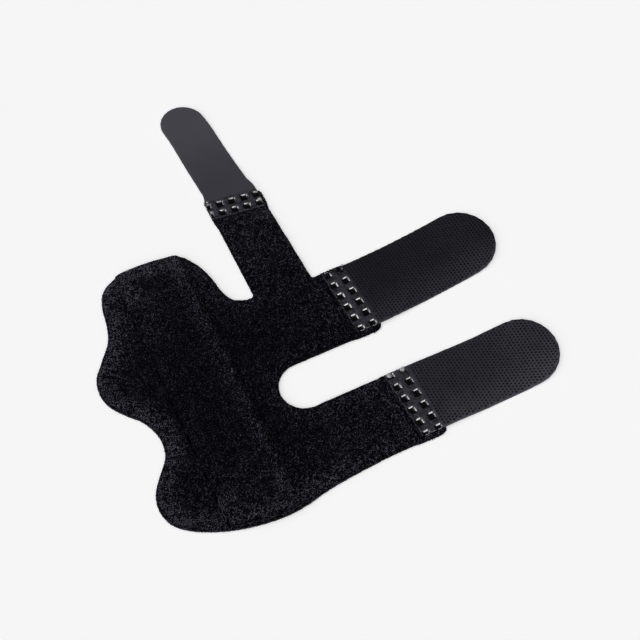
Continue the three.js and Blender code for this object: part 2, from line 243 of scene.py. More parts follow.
def shape_tree(name, **inputs):
    """A Geometry Nodes tree with its geometry and its named inputs, each a socket type."""
    group = bpy.data.node_groups.new(name, "GeometryNodeTree")
    sockets = group.interface
    sockets.new_socket("Geometry", in_out="INPUT", socket_type="NodeSocketGeometry")
    for input_name, kind in inputs.items():
        sockets.new_socket(input_name, in_out="INPUT", socket_type="NodeSocket" + kind)
    sockets.new_socket("Geometry", in_out="OUTPUT", socket_type="NodeSocketGeometry")
    tree = Tree(group)
    return tree, tree.node("NodeGroupInput")


def grow(piece, tree, name, **values):
    """The plain mesh piece that a Geometry Nodes tree makes from another piece."""
    modifier = piece.modifiers.new(name, "NODES")
    modifier.node_group = tree.node_tree
    for item in tree.node_tree.interface.items_tree:
        if item.in_out == "INPUT" and item.name in values:
            modifier[item.identifier] = values[item.name]
    bpy.context.view_layer.update()
    evaluated = piece.evaluated_get(bpy.context.evaluated_depsgraph_get())
    mesh = bpy.data.meshes.new_from_object(evaluated)
    mesh.name = name
    piece.modifiers.remove(modifier)
    return linked(name, mesh)


def linked(name, mesh):
    """A new piece in the scene."""
    piece = bpy.data.objects.new(name, mesh)
    bpy.context.scene.collection.objects.link(piece)
    return piece


def solid_copy(node, name):
    """A new piece with the node's solid, its loose triangles joined."""
    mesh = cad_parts[node].data.copy()
    mesh.name = name
    mesh.materials.clear()
    shape = bmesh.new()
    shape.from_mesh(mesh)
    bmesh.ops.remove_doubles(shape, verts=shape.verts, dist=NEARLY_NOTHING)
    shape.to_mesh(mesh)
    shape.free()
    return linked(name, mesh)


def applied(piece):
    """Makes a piece's modifiers part of its mesh."""
    bpy.context.view_layer.update()
    evaluated = piece.evaluated_get(bpy.context.evaluated_depsgraph_get())
    mesh = bpy.data.meshes.new_from_object(evaluated)
    piece.modifiers.clear()
    piece.data = mesh
    mesh.name = piece.name


def walls_of(tree, geometry):
    """The faces of a body that stand upright: its cut edges."""
    upright = tree.node("ShaderNodeSeparateXYZ", None, {
        "Vector": tree.node("GeometryNodeInputNormal")["Normal"]})["Z"]
    return tree.node("GeometryNodeSeparateGeometry", {"domain": "FACE"}, {
        "Geometry": geometry, "Selection": WALL_NORMAL_Z > abs(upright)})["Selection"]


def near_edge(tree, walls, reach):
    """1 at a cut edge, and down to 0 at a distance from it."""
    distance = tree.node("GeometryNodeProximity", {"target_element": "FACES"},
                         {"Geometry": walls})["Distance"]
    return tree.node("ShaderNodeMapRange", {"interpolation_type": "SMOOTHSTEP"}, {
        "Value": distance, "From Min": 0.0, "From Max": reach,
        "To Min": 1.0, "To Max": 0.0})["Result"]


def foam_surface():
    """Sinks a body's piled faces to leave room for the pile, rolls its edges and makes lumps."""
    tree, given = shape_tree("foam surface", Unevenness="Float", Size="Float", Room="Float",
                             Roll="Float", Roll_Width="Float", Land="Float", Seed="Int")
    position = tree.node("GeometryNodeInputPosition")["Position"]
    normal = tree.node("GeometryNodeInputNormal")["Normal"]
    height = tree.node("ShaderNodeSeparateXYZ", None, {"Vector": position})["Z"]
    faces_up = tree.node("ShaderNodeSeparateXYZ", None, {"Vector": normal})["Z"]
    above_land = height > given["Land"]
    piled = above_land.math("MAXIMUM", above_land, WALL_NORMAL_Z > abs(faces_up))
    lumps = tree.node("ShaderNodeTexNoise", {"noise_dimensions": "4D"}, {
        "Vector": position, "W": given["Seed"], "Scale": 1 / given["Size"],
        "Detail": FOAM_UNEVENNESS_DETAIL})["Fac"]
    edge = near_edge(tree, walls_of(tree, given["Geometry"]), given["Roll_Width"])
    outwards = tree.node("ShaderNodeVectorMath", {"operation": "SCALE"}, {
        "Vector": normal,
        "Scale": ((lumps - NOISE_MIDDLE) * 2 * given["Unevenness"] - given["Room"]) * piled,
    })["Vector"]
    roll = edge * edge * given["Roll"] * above_land * (faces_up > WALL_NORMAL_Z)
    down = tree.node("ShaderNodeCombineXYZ", None, {"Z": 0 - roll})["Vector"]
    offset = tree.node("ShaderNodeVectorMath", {"operation": "ADD"}, {
        0: outwards, 1: down})["Vector"]
    moved = tree.node("GeometryNodeSetPosition", None, {
        "Geometry": given["Geometry"], "Offset": offset})
    realized = tree.node("GeometryNodeRealizeInstances", None, {"Geometry": moved["Geometry"]})
    finished = tree.node("GeometryNodeSetMaterial", None,
                         {"Geometry": realized["Geometry"], "Material": foam})["Geometry"]
    tree.node("NodeGroupOutput", None, {"Geometry": finished})
    return tree


def even_faces(piece, cell, smoothing, kept):
    """Remeshes a solid into small even faces, rounds it and thins out the faces on flat places."""
    remesh = piece.modifiers.new("even faces", "REMESH")
    remesh.mode = "VOXEL"
    remesh.voxel_size = cell
    rounding = piece.modifiers.new("worn round", "SMOOTH")
    rounding.factor = ROUNDING
    rounding.iterations = smoothing
    thinning = piece.modifiers.new("fewer faces", "DECIMATE")
    thinning.ratio = kept
    applied(piece)


def foam_body(node, name, cell, smoothing, kept, room, roll, seed):
    """A soft body from a node's solid: rounded, rolled off at its cut edges and uneven."""
    blank = solid_copy(node, name + "_blank")
    even_faces(blank, cell, smoothing, kept)
    body = grow(blank, foam_relief, name, Unevenness=FOAM_UNEVENNESS, Size=FOAM_UNEVENNESS_SIZE,
                Room=room, Roll=roll, Roll_Width=EDGE_ROLL_WIDTH, Land=LAND_HEIGHT, Seed=seed)
    bpy.data.objects.remove(blank)
    body.data.shade_smooth()
    return body


foam, foam_tree = finish("black foam and backing", Roughness=0.95, Specular_IOR_Level=0.02)
foam_geometry = foam_tree.node("ShaderNodeNewGeometry")
foam_upright = foam_tree.node("ShaderNodeSeparateXYZ", None, {
    "Vector": foam_geometry["Normal"]})["Z"]
foam_grain = foam_tree.node("ShaderNodeTexNoise", None, {
    "Vector": foam_tree.node("ShaderNodeTexCoord")["Object"],
    "Scale": FOAM_GRAIN_FINENESS, "Detail": FOAM_GRAIN_DETAIL})["Fac"]
cut_edge = foam_grain * (CUT_EDGE_NORMAL_Z > foam_upright)
foam_tree.into("Principled BSDF", "Base Color", foam_tree.node(
    "ShaderNodeMix", {"data_type": "RGBA"},
    {"Factor": cut_edge, "A": FOAM_BLACK, "B": FOAM_CUT_EDGE})["Result"])
foam_tree.into("Principled BSDF", "Normal", foam_tree.node("ShaderNodeBump", None, {
    "Strength": FOAM_GRAIN_STRENGTH, "Distance": FOAM_GRAIN_DEPTH,
    "Height": foam_grain})["Normal"])

foam_relief = foam_surface()
sheet = foam_body("wrap_sheet", "foam_sheet", SHEET_CELL, SHEET_SMOOTHING, SHEET_FACES_KEPT,
                  PILE_ROOM, EDGE_ROLL, SHEET_SEED)

# The loop pile is brushed nylon: fine curled fibres that stand in a thick layer on the sheet's
# face. A few curls of different bends are strewn over each stretch of the face, evenly and turned
# at random, and each takes a shade of its own. The pile's colour runs from black to a pale
# painted sheen that stands for light caught by the fibres, with a fine painted glint.
PILE_SPACING = 0.00045
PILE_LEAN = math.radians(24)
PILE_SMALLEST = 0.75
PILE_LARGEST = 1.2
EDGE_SHEEN_REACH = 0.009
CLIPPED_REACH = 0.0014
CLIPPED = 0.4
MOST_CROWDED = 1e8
CURL_FOOT = 0.35
CURL_CROWN = 0.65
FIBRE_RADIUS = 0.00011
FIBRE_TIP = 0.55
FIBRE_SIDES = 3
FIBRE_STEPS = 3
LEAST_NORMAL_Z = -0.3
PILE_LOWEST = 0.0004
WALL_TOP = 0.0017
SEAM_GAP = 0.00052
SEAM_RAGGED = 0.0006
SEAM_RAGGED_SIZE = 0.003
SEAM_OPENS = 0.0025
ARM_ROOT_INSET = 0.0035
HEEL_TOP_SHARE = 0.62
# The pile takes less painted sheen, so it looks darker, towards a point near the sheet's middle.
LEAST_SHEEN_MIDDLE = (0.008, -0.004, 0)
LEAST_SHEEN_REACH = (0.016, 0.066)
MIDDLE_SHINE = 0.28
OUTER_SHINE = 0.69
FACE_SHINE = 0.77
EDGE_SHINE = 0.71
BRUSHED_FINENESS = 90
BRUSHED_DETAIL = 4
BRUSHED_LEAST = 0.5
# The pale end of the pile's colour is a painted sheen on the black fibres.
PILE_BLACK = (0.0007, 0.0006, 0.0028, 1)
PILE_PAINTED_SHEEN = (0.25, 0.237, 0.315, 1)
GLINT_FINENESS = 2100
GLINT_DETAIL = 1
GLINT_CONTRAST = 9
CURLS = {
    "arch": {"span": 0.00084, "height": 0.00030, "twist": 0.00016, "sweep": 180},
    "loop": {"span": 0.00058, "height": 0.00045, "twist": 0.00028, "sweep": 250},
    "snake": {"span": 0.00098, "height": 0.00025, "twist": 0.00027, "sweep": 185},
    "hook": {"span": 0.00066, "height": 0.00037, "twist": 0.00019, "sweep": 220},
}


def curl_line(span, height, twist, sweep, share):
    """A point of a curl, which is an arc of this sweep, bent aside, at a share of its length."""
    angle = math.radians(sweep) * (share - 0.5)
    return Vector((
        span / 2 * math.sin(angle),
        twist * math.sin(math.tau * share),
        height * (CURL_FOOT + CURL_CROWN * math.cos(angle)),
    ))


def fibre(name, line):
    """One thin three-sided fibre along a line of points, thinner at both its ends."""
    shape = bmesh.new()
    rings = []
    for i, point in enumerate(line):
        along = (line[min(i + 1, len(line) - 1)] - line[max(i - 1, 0)]).normalized()
        side = along.cross(Vector((0, 0, 1)))
        side = side.normalized() if side.length > NEARLY_NOTHING else Vector((1, 0, 0))
        up = side.cross(along)
        radius = FIBRE_RADIUS * (FIBRE_TIP if i in (0, len(line) - 1) else 1)
        turns = [math.tau * k / FIBRE_SIDES for k in range(FIBRE_SIDES)]
        rings.append([shape.verts.new(point + radius * (math.cos(t) * side + math.sin(t) * up))
                      for t in turns])
    for near, far in zip(rings, rings[1:]):
        for k in range(FIBRE_SIDES):
            after = (k + 1) % FIBRE_SIDES
            shape.faces.new((near[k], near[after], far[after], far[k]))
    shape.faces.new(list(reversed(rings[0])))
    shape.faces.new(rings[-1])
    bmesh.ops.recalc_face_normals(shape, faces=shape.faces)
    mesh = bpy.data.meshes.new(name)
    shape.to_mesh(mesh)
    shape.free()
    mesh.shade_smooth()
    return bpy.data.objects.new(name, mesh)


def strewn_tree():
    """Strews curls over a piece, smaller and with more painted sheen at the body's cut edges, each
    with a shade.
    """
    tree, given = shape_tree("strewn curls", Curls="Collection", Body="Object", Spacing="Float",
                             Lean="Float", Smallest="Float", Largest="Float", Paler="Float",
                             Paler_Reach="Float", Clipped="Float", Clipped_Reach="Float",
                             Finish="Material", Seed="Int")
    body = tree.node("GeometryNodeObjectInfo", {"transform_space": "RELATIVE"},
                     {"Object": given["Body"]})["Geometry"]
    walls = walls_of(tree, body)
    spread = tree.node("GeometryNodeDistributePointsOnFaces", {"distribute_method": "POISSON"},
                       {"Mesh": given["Geometry"], "Distance Min": given["Spacing"],
                        "Density Max": MOST_CROWDED, "Seed": given["Seed"]})
    curls = tree.node("GeometryNodeCollectionInfo", None,
                      {"Collection": given["Curls"], "Separate Children": True,
                       "Reset Children": True})["Instances"]
    lean = given["Lean"]
    most = tree.node("ShaderNodeCombineXYZ", None, {"X": lean, "Y": lean, "Z": math.pi})["Vector"]
    least = tree.node("ShaderNodeVectorMath", {"operation": "SCALE"},
                      {"Vector": most, "Scale": -1})["Vector"]
    turn = tree.node("FunctionNodeRandomValue", {"data_type": "FLOAT_VECTOR"},
                     {"Min": least, "Max": most, "Seed": given["Seed"]})["Value"]
    turned = tree.node("FunctionNodeRotateRotation", {"rotation_space": "LOCAL"}, {
        "Rotation": spread["Rotation"],
        "Rotate By": tree.node("FunctionNodeEulerToRotation", None, {"Euler": turn})["Rotation"]})
    size = tree.node("FunctionNodeRandomValue", {"data_type": "FLOAT"},
                     {"Min": given["Smallest"], "Max": given["Largest"],
                      "Seed": given["Seed"] + 1})["Value"]
    clipped = 1 - near_edge(tree, walls, given["Clipped_Reach"]) * given["Clipped"]
    kind = tree.node("FunctionNodeRandomValue", {"data_type": "INT"},
                     {"Min": 0, "Max": len(CURLS) - 1, "Seed": given["Seed"] + 2})["Value"]
    set_down = tree.node("GeometryNodeInstanceOnPoints", None,
                         {"Points": spread["Points"], "Instance": curls, "Pick Instance": True,
                          "Instance Index": kind, "Rotation": turned["Rotation"],
                          "Scale": size * clipped})["Instances"]
    shade = tree.node("FunctionNodeRandomValue", {"data_type": "FLOAT"},
                      {"Min": 0.0, "Max": 1.0, "Seed": given["Seed"] + 3})["Value"]
    shaded = tree.node("GeometryNodeStoreNamedAttribute",
                       {"data_type": "FLOAT", "domain": "INSTANCE"},
                       {"Geometry": set_down, "Name": "shade", "Value": shade})["Geometry"]
    # A painted sheen, which makes the pile paler near the cut edges.
    paler = near_edge(tree, walls, given["Paler_Reach"]) * given["Paler"]
    with_edge_sheen = tree.node("GeometryNodeStoreNamedAttribute",
                       {"data_type": "FLOAT", "domain": "INSTANCE"},
                       {"Geometry": shaded, "Name": "edge", "Value": paler})["Geometry"]
    realized = tree.node("GeometryNodeRealizeInstances", None, {"Geometry": with_edge_sheen})["Geometry"]
    finished = tree.node("GeometryNodeSetMaterial", None,
                         {"Geometry": realized, "Material": given["Finish"]})["Geometry"]
    tree.node("NodeGroupOutput", None, {"Geometry": finished})
    return tree


def covers(*nodes):
    """A test for whether a point lies under one of these CAD solids."""
    solids = []
    for node in nodes:
        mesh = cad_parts[node].data
        corners = [v.co for v in mesh.vertices]
        solids.append(BVHTree.FromPolygons(corners, [tuple(f.vertices) for f in mesh.polygons]))
    return lambda point: any(solid.ray_cast(point, Vector((0, 0, 1)))[0] for solid in solids)


def face_patch(body, name, wanted, least_normal_z):
    """The part of a body's face that a test of a face's centre keeps, as a piece to strew on."""
    shape = bmesh.new()
    shape.from_mesh(body.data)
    dropped = []
    for f in shape.faces:
        centre = f.calc_center_median()
        if f.normal.z < least_normal_z or centre.z < PILE_LOWEST or not wanted(centre):
            dropped.append(f)
    bmesh.ops.delete(shape, geom=dropped, context="FACES")
    mesh = bpy.data.meshes.new(name)
    shape.to_mesh(mesh)
    shape.free()
    return linked(name, mesh)


def pile_on(body, name, wanted, paler, seed, clipped=CLIPPED,
            least_normal_z=LEAST_NORMAL_Z):
    """A piece of pile on the part of a body's face that a test keeps."""
    patch = face_patch(body, name + "_patch", wanted, least_normal_z)
    pile = grow(patch, strewn, name, Curls=curl_kinds, Body=body, Spacing=PILE_SPACING,
                Lean=PILE_LEAN, Smallest=PILE_SMALLEST, Largest=PILE_LARGEST, Paler=paler,
                Paler_Reach=EDGE_SHEEN_REACH, Clipped=clipped, Clipped_Reach=CLIPPED_REACH,
                Finish=pile_finish, Seed=seed)
    bpy.data.objects.remove(patch)
    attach(pile, "root")
    return pile


curl_kinds = bpy.data.collections.new("curls")
for curl_name, curl in CURLS.items():
    curl_points = [curl_line(**curl, share=i / FIBRE_STEPS) for i in range(FIBRE_STEPS + 1)]
    curl_kinds.objects.link(fibre(curl_name, curl_points))

pile_finish, pile_tree = finish("black loop pile", Roughness=0.6, Specular_IOR_Level=0.06)
pile_place = pile_tree.node("ShaderNodeTexCoord")["Object"]
brushed = pile_tree.node("ShaderNodeTexNoise", None, {
    "Vector": pile_place, "Scale": BRUSHED_FINENESS, "Detail": BRUSHED_DETAIL})["Fac"]
shade_of_curl = pile_tree.node("ShaderNodeAttribute", {"attribute_name": "shade"})["Fac"]
edge_sheen_of_curl = pile_tree.node("ShaderNodeAttribute", {"attribute_name": "edge"})["Fac"]
from_middle = pile_tree.node("ShaderNodeVectorMath", {"operation": "DISTANCE"},
                             {0: pile_place, 1: LEAST_SHEEN_MIDDLE})["Value"]
sheen_from_middle = pile_tree.node("ShaderNodeMapRange", {"interpolation_type": "SMOOTHSTEP"}, {
    "Value": from_middle, "From Min": LEAST_SHEEN_REACH[0], "From Max": LEAST_SHEEN_REACH[1],
    "To Min": MIDDLE_SHINE, "To Max": OUTER_SHINE})["Result"]
glint_noise = pile_tree.node("ShaderNodeTexNoise", None, {
    "Vector": pile_place, "Scale": GLINT_FINENESS, "Detail": GLINT_DETAIL})["Fac"]
glint = (glint_noise - NOISE_MIDDLE) * GLINT_CONTRAST + 1
# The share of painted sheen in the pile's colour: by each curl's shade and the painted glint, less
# towards the sheet's middle and more at the cut edges.
pile_sheen_mix = shade_of_curl * shade_of_curl * glint * (
    sheen_from_middle * (brushed + BRUSHED_LEAST) * FACE_SHINE + edge_sheen_of_curl * EDGE_SHINE)
pile_colour = pile_tree.node("ShaderNodeMix", {"data_type": "RGBA"},
                             {"Factor": pile_sheen_mix, "A": PILE_BLACK, "B": PILE_PAINTED_SHEEN})["Result"]
pile_tree.into("Principled BSDF", "Base Color", pile_colour)

strewn = strewn_tree()
sheet_low, sheet_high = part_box("wrap_sheet")
pocket_low, pocket_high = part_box("stay_pocket")
upper_tab_low, upper_tab_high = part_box("upper_hook_tab")
finger_tab_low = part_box("finger_hook_tab")[0]
slot_middle = (upper_tab_low.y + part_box("lower_hook_tab")[1].y) / 2
arm_root_y = upper_tab_high.y - ARM_ROOT_INSET
arm_root_x = (pocket_high.x + upper_tab_low.x) / 2
under_strip = covers("stay_pocket")
under_tabs = covers("finger_hook_tab", "upper_hook_tab", "lower_hook_tab")


def in_seam(p):
    """True along the flap side of the pocket strip, where no pile grows and the seam shows dark."""
    gap = SEAM_GAP - SEAM_OPENS * p.y + SEAM_RAGGED * noise.noise(p / SEAM_RAGGED_SIZE)
    return p.z > WALL_TOP and under_strip(p + Vector((gap, 0, 0)))


def covered(p):
    """True where the sheet is out of sight: under a tab, or under the strip but for the walls."""
    return under_tabs(p) or (p.z > WALL_TOP and under_strip(p))


def on_finger_arm(p):
    """True beyond the arms' shoulder, where the finger arm leaves the body."""
    return p.y > arm_root_y and p.x > finger_tab_low.x


heel_top_y = sheet_low.y * HEEL_TOP_SHARE
# How much painted sheen each stretch's pile takes near the cut edges, where it looks paler.
PILE_STRETCHES = {
    "palm_flap_pile": {
        "paler": 2.5, "inside": lambda p: p.x < 0 and not in_seam(p)},
    "finger_arm_pile": {
        "paler": 0.2, "inside": on_finger_arm},
    "body_pile": {
        "paler": 0.4, "inside": lambda p: (
            0 <= p.x < arm_root_x and p.y > heel_top_y and not on_finger_arm(p))},
    "heel_pile": {
        "paler": 1.8, "inside": lambda p: 0 <= p.x < arm_root_x and p.y <= heel_top_y},
    "upper_arm_pile": {
        "paler": 0.1, "inside": lambda p: (
            p.x >= arm_root_x and slot_middle < p.y <= arm_root_y)},
    "lower_arm_pile": {
        "paler": 0.7, "inside": lambda p: p.x >= arm_root_x and p.y <= slot_middle},
}
sheet_piles = [
    pile_on(sheet, name, lambda p, stretch=stretch: stretch["inside"](p) and not covered(p),
            stretch["paler"], i)
    for i, (name, stretch) in enumerate(PILE_STRETCHES.items())
]
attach(sheet, "root")
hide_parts("wrap_sheet")

# The stay pocket is a strip of the same loop-faced cloth, sewn down along both its long edges
# over the finger, so that a flat stay slides in at its lower end. Its pile is paler at the rims of
# its two ends, by painted sheen, and near the lower end its cut edge shows as a pale frayed line.
POCKET_CELL = 0.0004
POCKET_FACES_KEPT = 0.5
POCKET_SMOOTHING = 2
POCKET_PILE_ROOM = 0.0002
POCKET_SEED = 2
POCKET_PILE_SEED = 11
STRIP_END = 0.016
CUT_EDGE_PATH = [(-0.0133, -0.0446), (-0.0139, -0.0466), (-0.0136, -0.0484), (-0.0142, -0.0502),
                 (-0.0138, -0.0522), (-0.0144, -0.0538)]
CUT_EDGE_HEIGHT = 0.0033
CUT_EDGE_RADIUS = 0.00012
CUT_EDGE_FINENESS = 1500
CUT_EDGE_PALE = (0.24, 0.232, 0.265, 1)

strip = foam_body("stay_pocket", "pocket_strip", POCKET_CELL, POCKET_SMOOTHING,
                  POCKET_FACES_KEPT, POCKET_PILE_ROOM, 0.0, POCKET_SEED)
fingertip_y = pocket_high.y - STRIP_END
palm_y = pocket_low.y + STRIP_END
# How much painted sheen the strip's pile takes near its edges, most at the fingertip end.
STRIP_STRETCHES = {
    "pocket_pile_flap_side": {
        "paler": 0.1, "inside": lambda p: p.x < 0 and palm_y < p.y <= fingertip_y},
    "pocket_pile_arm_side": {
        "paler": 0.7, "inside": lambda p: p.x >= 0 and palm_y < p.y <= fingertip_y},
    "pocket_pile_fingertip_end": {
        "paler": 2.8, "inside": lambda p: p.y > fingertip_y},
    "pocket_pile_palm_end": {
        "paler": 1.3, "inside": lambda p: p.y <= palm_y},
}
strip_piles = [
    pile_on(strip, name, stretch["inside"], stretch["paler"], POCKET_PILE_SEED + i)
    for i, (name, stretch) in enumerate(STRIP_STRETCHES.items())
]

cut_edge_curve = bpy.data.curves.new("pocket_cut_edge", "CURVE")
cut_edge_curve.dimensions = "3D"
cut_edge_curve.bevel_depth = CUT_EDGE_RADIUS
cut_edge_curve.bevel_resolution = 1
cut_edge_curve.use_fill_caps = True
cut_edge_line = cut_edge_curve.splines.new("POLY")
cut_edge_line.points.add(len(CUT_EDGE_PATH) - 1)
for point, (x, y) in zip(cut_edge_line.points, CUT_EDGE_PATH):
    point.co = (x, y, CUT_EDGE_HEIGHT, 1)
cut_edge_guide = bpy.data.objects.new("pocket_cut_edge_guide", cut_edge_curve)
cut_edge_piece = linked("pocket_cut_edge", bpy.data.meshes.new_from_object(cut_edge_guide))
bpy.data.objects.remove(cut_edge_guide)
cut_edge_finish, cut_edge_tree = finish("frayed cut edge", Roughness=0.8, Specular_IOR_Level=0.1)
cut_edge_noise = cut_edge_tree.node("ShaderNodeTexNoise", None, {
    "Vector": cut_edge_tree.node("ShaderNodeTexCoord")["Object"], "Scale": CUT_EDGE_FINENESS})
cut_edge_tree.into("Principled BSDF", "Base Color", cut_edge_tree.node(
    "ShaderNodeMix", {"data_type": "RGBA"},
    {"Factor": cut_edge_noise["Fac"], "A": FOAM_CUT_EDGE, "B": CUT_EDGE_PALE})["Result"])
cut_edge_piece.data.materials.append(cut_edge_finish)
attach(cut_edge_piece, "root")

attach(strip, "root")
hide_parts("stay_pocket")

# The hooks are moulded in one with the tape of the two wide tabs, in rows that are set half a step
# aside from each other. Each is a short bent stub. None stands in the band that is pressed flat at
# the weld, nor on the tape's bare edges.
HOOK_COLUMN_SPACING = 0.00135
HOOK_SPACING = 0.00127
HOOK_COLUMNS = 52
HOOKS_IN_COLUMN = 28
HOOK_SMALLEST = 0.9
HOOK_LARGEST = 1.1
BARE_EDGE = 0.0007
LEVEL_NORMAL_Z = 0.9
OPEN_TAPE = 0.05
GRID_HEIGHT = 0.02
GRID_FROM_TIP = 0.031
LONGEST_DROP = 0.1
LANDED_BELOW = 0.01
HOOK_WIDTH = 0.00056
HOOK_PROFILE = [(-0.00034, -0.0001), (0.00026, -0.0001), (0.00018, 0.00020), (0.00042, 0.00014),
                (0.00036, 0.00038), (-0.00014, 0.00040)]
# The hooks' black is darker than the tape they are moulded with: painted shade, so that they read
# as dark dots.
HOOK_SHADED_BLACK = (0.0022, 0.0021, 0.0026, 1)
HOOK_FINENESS = 60


def hook_row_tree():
    """Drops a staggered grid of hooks on a tab and keeps those that land on open, level tape."""
    tree, given = shape_tree("hook rows", Hook="Object", Column_Spacing="Float",
                             Hook_Spacing="Float", Columns="Int", Hooks="Int", Bare_Edge="Float",
                             Turn="Vector", Place="Vector", Finish="Material", Seed="Int")
    length = given["Column_Spacing"] * (given["Columns"] - 1)
    width = given["Hook_Spacing"] * (given["Hooks"] - 1)
    grid = tree.node("GeometryNodeMeshGrid", None, {
        "Size X": length, "Size Y": width,
        "Vertices X": given["Columns"], "Vertices Y": given["Hooks"]})["Mesh"]
    position = tree.node("ShaderNodeSeparateXYZ", None, {
        "Vector": tree.node("GeometryNodeInputPosition")["Position"]})
    column = (position["X"] + length * 0.5) / given["Column_Spacing"]
    odd = column.math("FLOORED_MODULO", column.math("ROUND", column), 2)
    stagger = tree.node("ShaderNodeCombineXYZ", None, {
        "Y": odd * given["Hook_Spacing"] * 0.5})["Vector"]
    staggered = tree.node("GeometryNodeSetPosition", None, {
        "Geometry": grid, "Offset": stagger})["Geometry"]
    over_tab = tree.node("GeometryNodeTransform", None, {
        "Geometry": staggered, "Translation": given["Place"],
        "Rotation": given["Turn"]})["Geometry"]
    in_band = tree.node("GeometryNodeInputNamedAttribute", {"data_type": "FLOAT"}, {
        "Name": "band"})["Attribute"]
    drop = tree.node("GeometryNodeRaycast", {"data_type": "FLOAT"}, {
        "Target Geometry": given["Geometry"], "Attribute": in_band,
        "Ray Direction": (0, 0, -1), "Ray Length": LONGEST_DROP})
    level = tree.node("ShaderNodeSeparateXYZ", None, {"Vector": drop["Hit Normal"]})["Z"]
    from_edge = tree.node("GeometryNodeProximity", {"target_element": "FACES"}, {
        "Geometry": walls_of(tree, given["Geometry"]),
        "Sample Position": drop["Hit Position"]})["Distance"]
    lands = (drop["Is Hit"] * (level > LEVEL_NORMAL_Z) * (OPEN_TAPE > drop["Attribute"])
             * (from_edge > given["Bare_Edge"]))
    on_tape = tree.node("GeometryNodeSetPosition", None, {
        "Geometry": over_tab, "Position": drop["Hit Position"], "Selection": lands})["Geometry"]
    at_height = tree.node("ShaderNodeSeparateXYZ", None, {
        "Vector": tree.node("GeometryNodeInputPosition")["Position"]})["Z"]
    size = tree.node("FunctionNodeRandomValue", {"data_type": "FLOAT"},
                     {"Min": HOOK_SMALLEST, "Max": HOOK_LARGEST, "Seed": given["Seed"]})["Value"]
    hook = tree.node("GeometryNodeObjectInfo", {"transform_space": "ORIGINAL"},
                     {"Object": given["Hook"]})["Geometry"]
    set_down = tree.node("GeometryNodeInstanceOnPoints", None, {
        "Points": on_tape, "Instance": hook, "Scale": size, "Rotation": given["Turn"],
        "Selection": LANDED_BELOW > at_height})["Instances"]
    realized = tree.node("GeometryNodeRealizeInstances", None, {"Geometry": set_down})["Geometry"]
    finished = tree.node("GeometryNodeSetMaterial", None,
                         {"Geometry": realized, "Material": given["Finish"]})["Geometry"]
    tree.node("NodeGroupOutput", None, {"Geometry": finished})
    return tree


hook_rows = hook_row_tree()
hook_shape = bmesh.new()
hook_sides = [[hook_shape.verts.new((x, side * HOOK_WIDTH / 2, z)) for x, z in HOOK_PROFILE]
              for side in (-1, 1)]
for k in range(len(HOOK_PROFILE)):
    after = (k + 1) % len(HOOK_PROFILE)
    hook_shape.faces.new((hook_sides[0][k], hook_sides[0][after],
                          hook_sides[1][after], hook_sides[1][k]))
hook_shape.faces.new(list(reversed(hook_sides[0])))
hook_shape.faces.new(hook_sides[1])
bmesh.ops.recalc_face_normals(hook_shape, faces=hook_shape.faces)
hook_mesh = bpy.data.meshes.new("moulded_hook")
hook_shape.to_mesh(hook_mesh)
hook_shape.free()
moulded_hook = bpy.data.objects.new("moulded_hook", hook_mesh)

# The hooks are black plastic like their tape, painted darker than it as shade.
hook_finish, hook_tree = finish("black moulded hooks", Roughness=0.5, Specular_IOR_Level=0.15)
hook_noise = hook_tree.node("ShaderNodeTexNoise", None, {
    "Vector": hook_tree.node("ShaderNodeTexCoord")["Object"], "Scale": HOOK_FINENESS})["Fac"]
hook_tree.into("Principled BSDF", "Base Color", hook_tree.node(
    "ShaderNodeMix", {"data_type": "RGBA"},
    {"Factor": hook_noise, "A": HOOK_SHADED_BLACK, "B": FOAM_CUT_EDGE})["Result"])

# The hook tabs are moulded hook tape, welded onto the arms' pressed ends. The welding horn leaves
# two rows of square marks, melted smooth and glossy, in a band of tape that is pressed flat. The
# pile of the arm is melted into the tape's root, and covers it down to the first row of marks.
TAB_CELL = 0.0003
TAB_FACES_KEPT = 0.35
TAB_SMOOTHING = 4
BAND_FADE = 0.0008
SHADE_REACH = 0.009
REFLECTION_ACROSS = 0.55
PAST_WELD = 0.02
WELD_ROOT = 0.005
ROOT_COVER = 0.0004
ROOT_RAGGED = 0.001
ROOT_RAGGED_SIZE = 0.0014
ROOT_RAGGED_SHIFT = 0.5
ROOT_END = 0.0003
ROOT_COVER_WIDENS = 1.6
ROOT_COVER_DEPTH = 0.0002
ROOT_SIDE_DEPTH = 0.0009
ROOT_LEAST_NORMAL_Z = -0.6
ROOT_PILE_SEED = 20
MARK_EDGE = 0.00006
MARK_FLOOR = 0.00028
MARK_NORMAL_Z = 0.3
TAPE_ROUGHNESS = 0.5
MARK_ROUGHNESS = 0.16
MELT_BLACK = (0.0008, 0.0008, 0.001, 1)
CLOUD_FINENESS = 70
CLOUD_CONTRAST = 0.5
GRAIN_FINENESS = 2200
TAPE_NOISE_DETAIL = 3
CRUMPLE_FINENESS = 1100
CRUMPLE_DETAIL = 4
CRUMPLE_CONTRAST = 5
CRUMPLE_SHADES = (0.45, 1.55)
CRUMPLE_RELIEF = 2
TAPE_RELIEF_STRENGTH = 0.3
TAPE_RELIEF_DEPTH = 0.0001
